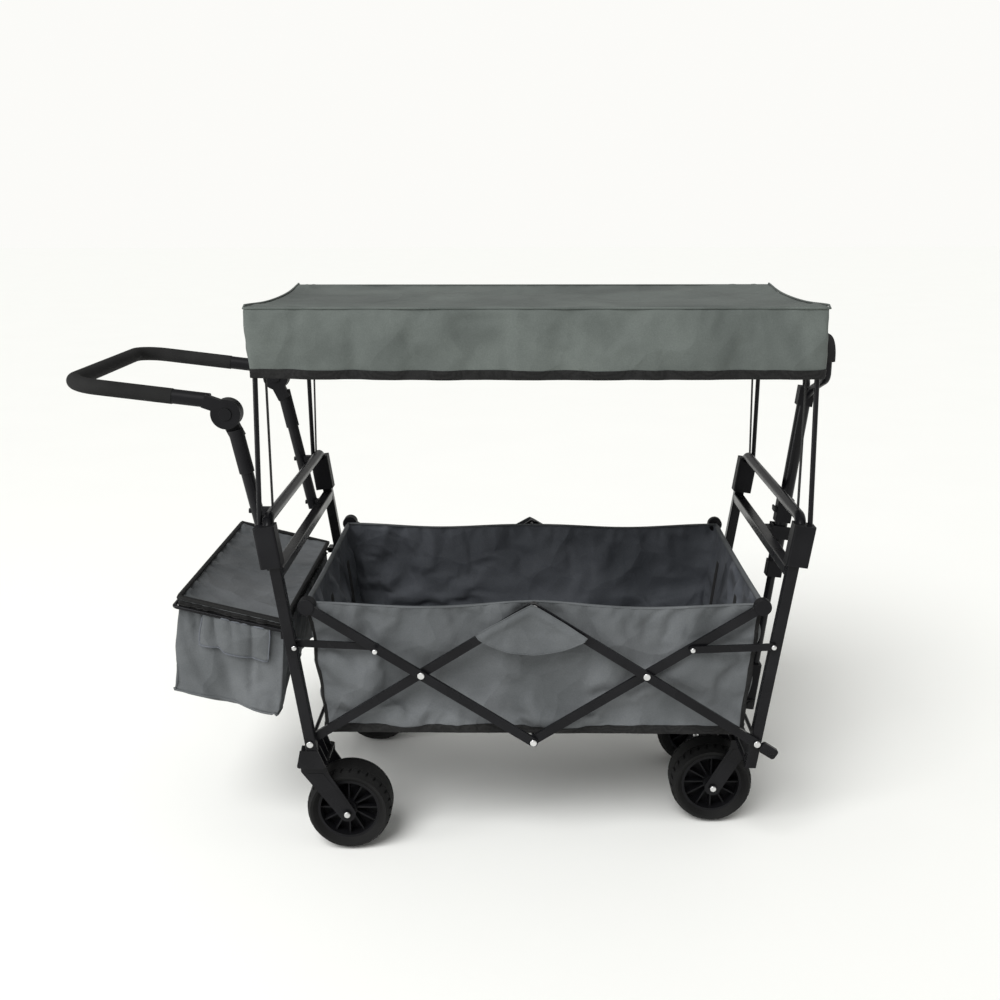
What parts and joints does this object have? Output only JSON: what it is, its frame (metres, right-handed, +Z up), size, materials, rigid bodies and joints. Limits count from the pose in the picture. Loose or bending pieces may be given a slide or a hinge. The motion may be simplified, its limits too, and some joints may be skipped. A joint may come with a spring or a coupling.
{
  "type": "folding pull wagon",
  "caption": "Folding cloth wagon with scissor sides, push and pull handles, canopy, rear bag, swivel casters and fixed wheels.",
  "frame": {"origin": "centre of the bounding box on the floor", "axes": "+X towards the pull handle (front), +Y to the left side, +Z up"},
  "size_m": [1.5386, 0.6966, 1.117],
  "materials": {
    "grey_cloth": "coated Oxford weave, matt",
    "floor_mat": "padded, matt",
    "webbing": "woven webbing",
    "tyre": "matt moulded",
    "rim_plastic": "satin moulded",
    "zinc": "bright zinc",
    "foam_grip": "closed-cell foam",
    "black_plastic": "textured moulding",
    "black_paint": "satin powder coat"
  },
  "bodies": {
    "rear_frame": {"rear_legs": "black_paint", "rear_crossbars": "black_paint", "rear_connectors": "black_plastic", "rear_canopy_poles": "black_paint", "rear_feet": "black_paint", "handle_posts": "black_paint", "post_fixings": "black_plastic", "hinge_bases": "black_plastic", "bag": "grey_cloth", "bag_hoop": "black_paint", "tub": "grey_cloth", "floor_mat": "floor_mat", "canopy": "grey_cloth", "flaps": "grey_cloth", "rear_straps": "webbing"},
    "rear_lower_pair": {"rear_lower_bars": "black_paint", "rear_rivets": "zinc", "floor_rod_rear": "zinc"},
    "rear_upper_pair": {"rear_upper_bars": "black_paint", "rear_corner_caps": "black_plastic", "floor_rod_middle": "zinc"},
    "front_lower_pair": {"front_lower_bars": "black_paint", "front_rivets": "zinc", "floor_rod_front": "zinc"},
    "front_upper_pair": {"front_upper_bars": "black_paint", "front_corner_caps": "black_plastic"},
    "rear_link_pair": {"rear_links": "black_paint"},
    "front_link_pair": {"front_links": "black_paint"},
    "front_frame": {"front_legs": "black_paint", "front_crossbars": "black_paint", "front_connectors": "black_plastic", "front_canopy_poles": "black_paint", "front_beam": "black_paint", "pull_yoke": "black_paint", "handle_clip": "black_plastic", "front_forks": "black_paint", "front_straps": "webbing"},
    "push_handle": {"push_handle_tube": "black_paint", "push_handle_grip": "foam_grip", "hinge_caps": "black_plastic"},
    "handle_button_left": {"hinge_button_left": "black_plastic"},
    "handle_button_right": {"hinge_button_right": "black_plastic"},
    "caster_left": {"rear_fork_left": "black_paint"},
    "caster_right": {"rear_fork_right": "black_paint"},
    "pull_stem": {"pull_foot": "black_plastic", "pull_stem": "black_paint"},
    "pull_sleeve": {"pull_sleeve": "black_paint", "pull_collars": "black_plastic", "pull_loop": "black_paint", "pull_grip": "foam_grip"},
    "latch": {"latch_knob": "black_plastic"},
    "bag_lid": {"bag_lid": "grey_cloth"},
    "wheel_rear_left": {"rim_rear_left": "rim_plastic", "tyre_rear_left": "tyre"},
    "wheel_rear_right": {"rim_rear_right": "rim_plastic", "tyre_rear_right": "tyre"},
    "wheel_front_left": {"rim_front_left": "rim_plastic", "tyre_front_left": "tyre"},
    "wheel_front_right": {"rim_front_right": "rim_plastic", "tyre_front_right": "tyre"}
  },
  "joints": [
    {"name": "fold", "type": "hinge", "parent": "rear_frame", "child": "rear_lower_pair", "pos_m": [-0.28983, 0, 0.255], "axis": [0, -1, 0], "range_deg": [0, 50], "deforming": ["tub", "floor_mat", "canopy", "flaps", "rear_straps", "front_straps"]},
    {"name": "rear_cross", "type": "hinge", "parent": "rear_lower_pair", "child": "rear_upper_pair", "pos_m": [-0.06633, 0, 0.397], "axis": [0, -1, 0], "range_deg": [-100, 0]},
    {"name": "top_joint", "type": "hinge", "parent": "rear_lower_pair", "child": "front_lower_pair", "pos_m": [0.15717, 0, 0.539], "axis": [0, -1, 0], "range_deg": [-100, 0]},
    {"name": "front_cross", "type": "hinge", "parent": "front_lower_pair", "child": "front_upper_pair", "pos_m": [0.38067, 0, 0.397], "axis": [0, -1, 0], "range_deg": [0, 100]},
    {"name": "front_foot", "type": "hinge", "parent": "front_lower_pair", "child": "front_frame", "pos_m": [0.60417, 0, 0.255], "axis": [0, -1, 0], "range_deg": [0, 50]},
    {"name": "rear_link", "type": "hinge", "parent": "rear_frame", "child": "rear_link_pair", "pos_m": [-0.31283, 0, 0.46], "axis": [0, -1, 0], "range_deg": [0, 82.5]},
    {"name": "front_link", "type": "hinge", "parent": "front_frame", "child": "front_link_pair", "pos_m": [0.62717, 0, 0.46], "axis": [0, -1, 0], "range_deg": [-82.5, 0]},
    {"name": "handle_tilt", "type": "hinge", "parent": "rear_frame", "child": "push_handle", "pos_m": [-0.44178, 0, 0.91], "axis": [0, 1, 0], "range_deg": [-50, 75]},
    {"name": "button_left", "type": "slide", "parent": "push_handle", "child": "handle_button_left", "axis": [0, -1, 0], "range_m": [0, 0.002], "stiffness_N_per_m": 400},
    {"name": "button_right", "type": "slide", "parent": "push_handle", "child": "handle_button_right", "axis": [0, 1, 0], "range_m": [0, 0.002], "stiffness_N_per_m": 400},
    {"name": "swivel_left", "type": "hinge", "parent": "rear_frame", "child": "caster_left", "pos_m": [-0.28883, 0.26, 0.1], "axis": [0, 0, 1], "continuous": true},
    {"name": "swivel_right", "type": "hinge", "parent": "rear_frame", "child": "caster_right", "pos_m": [-0.28883, -0.26, 0.1], "axis": [0, 0, 1], "continuous": true},
    {"name": "roll_rear_left", "type": "hinge", "parent": "caster_left", "child": "wheel_rear_left", "pos_m": [-0.22383, 0.26, 0.0875], "axis": [0, 1, 0], "continuous": true},
    {"name": "roll_rear_right", "type": "hinge", "parent": "caster_right", "child": "wheel_rear_right", "pos_m": [-0.22383, -0.26, 0.0875], "axis": [0, 1, 0], "continuous": true},
    {"name": "roll_front_left", "type": "hinge", "parent": "front_frame", "child": "wheel_front_left", "pos_m": [0.54317, 0.135, 0.0875], "axis": [0, 1, 0], "continuous": true},
    {"name": "roll_front_right", "type": "hinge", "parent": "front_frame", "child": "wheel_front_right", "pos_m": [0.54317, -0.135, 0.0875], "axis": [0, 1, 0], "continuous": true},
    {"name": "pull_swing", "type": "hinge", "parent": "front_frame", "child": "pull_stem", "pos_m": [0.64629, 0, 0.209], "axis": [0, 1, 0], "range_deg": [0, 88]},
    {"name": "pull_extend", "type": "slide", "parent": "pull_stem", "child": "pull_sleeve", "axis": [0.1253, 0, 0.9921], "range_m": [0, 0.25]},
    {"name": "latch_pull", "type": "slide", "parent": "pull_sleeve", "child": "latch", "axis": [-0.9921, 0, 0.1253], "range_m": [0, 0.006], "stiffness_N_per_m": 400},
    {"name": "bag_lid", "type": "hinge", "parent": "rear_frame", "child": "bag_lid", "pos_m": [-0.34283, 0, 0.4904], "axis": [0, 1, 0], "range_deg": [0, 45]}
  ],
  "couplings": [
    {"joint": "rear_cross", "follows": "fold", "ratio": -2},
    {"joint": "top_joint", "follows": "fold", "ratio": -2},
    {"joint": "front_cross", "follows": "fold", "ratio": 2},
    {"joint": "front_foot", "follows": "fold", "ratio": 1},
    {"joint": "rear_link", "follows": "fold", "ratio": 1.65},
    {"joint": "front_link", "follows": "fold", "ratio": -1.65}
  ]
}
